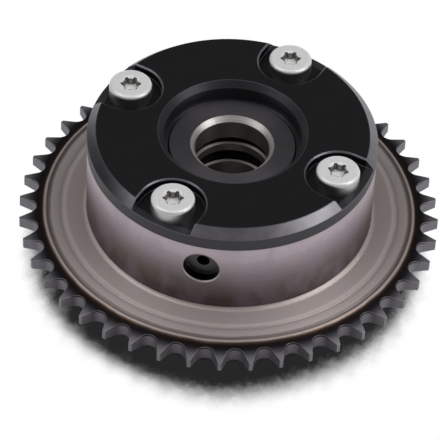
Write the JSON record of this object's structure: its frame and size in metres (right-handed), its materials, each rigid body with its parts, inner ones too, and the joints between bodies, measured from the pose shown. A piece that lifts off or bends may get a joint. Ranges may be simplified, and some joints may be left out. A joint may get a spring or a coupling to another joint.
{
  "type": "cam phaser",
  "caption": "Vane-type cam phaser: a chain wheel on a round drum that turns a vaned rotor by oil pressure, with a black bolted front cover.",
  "frame": {"origin": "camshaft axis at the rear cover's rear face, on which the part stands", "axes": "+Z along the camshaft axis from the rear face to the front cover"},
  "size_m": [0.1168, 0.1168, 0.0399],
  "materials": {
    "sintered_steel": "turned and part-blued",
    "black_cover": "black satin",
    "rear_cover_steel": "ground",
    "rotor_steel": "dark sintered, turned",
    "screw_steel": "zinc plated",
    "hardened_steel": "ground",
    "spring_steel": "bright wire",
    "seal_plastic": "moulded"
  },
  "bodies": {
    "housing": {"sprocket_housing": "sintered_steel", "front_cover": "black_cover", "rear_cover": "rear_cover_steel", "lock_bush": "hardened_steel", "rear_dowel": "hardened_steel", "cover_screw_1": "screw_steel", "cover_screw_2": "screw_steel", "cover_screw_3": "screw_steel", "cover_screw_4": "screw_steel", "lobe_seal_1": "seal_plastic", "lobe_seal_2": "seal_plastic", "lobe_seal_3": "seal_plastic", "lobe_seal_4": "seal_plastic", "lobe_spring_1": "spring_steel", "lobe_spring_2": "spring_steel", "lobe_spring_3": "spring_steel", "lobe_spring_4": "spring_steel"},
    "rotor": {"rotor": "rotor_steel", "lock_spring": "spring_steel", "lock_spring_seat": "rotor_steel", "vane_seal_1": "seal_plastic", "vane_seal_2": "seal_plastic", "vane_seal_3": "seal_plastic", "vane_seal_4": "seal_plastic", "vane_spring_1": "spring_steel", "vane_spring_2": "spring_steel", "vane_spring_3": "spring_steel", "vane_spring_4": "spring_steel"},
    "lock_pin": {"lock_pin": "hardened_steel"}
  },
  "joints": [
    {"name": "rotor_turn", "type": "hinge", "parent": "housing", "child": "rotor", "pos_m": [0, 0, 0.019], "axis": [0, 0, -1], "range_deg": [0, 20.6]},
    {"name": "lock_pin_slide", "type": "slide", "parent": "rotor", "child": "lock_pin", "axis": [0, 0, 1], "range_m": [0, 0.0012], "deforming": ["lock_spring"]}
  ]
}
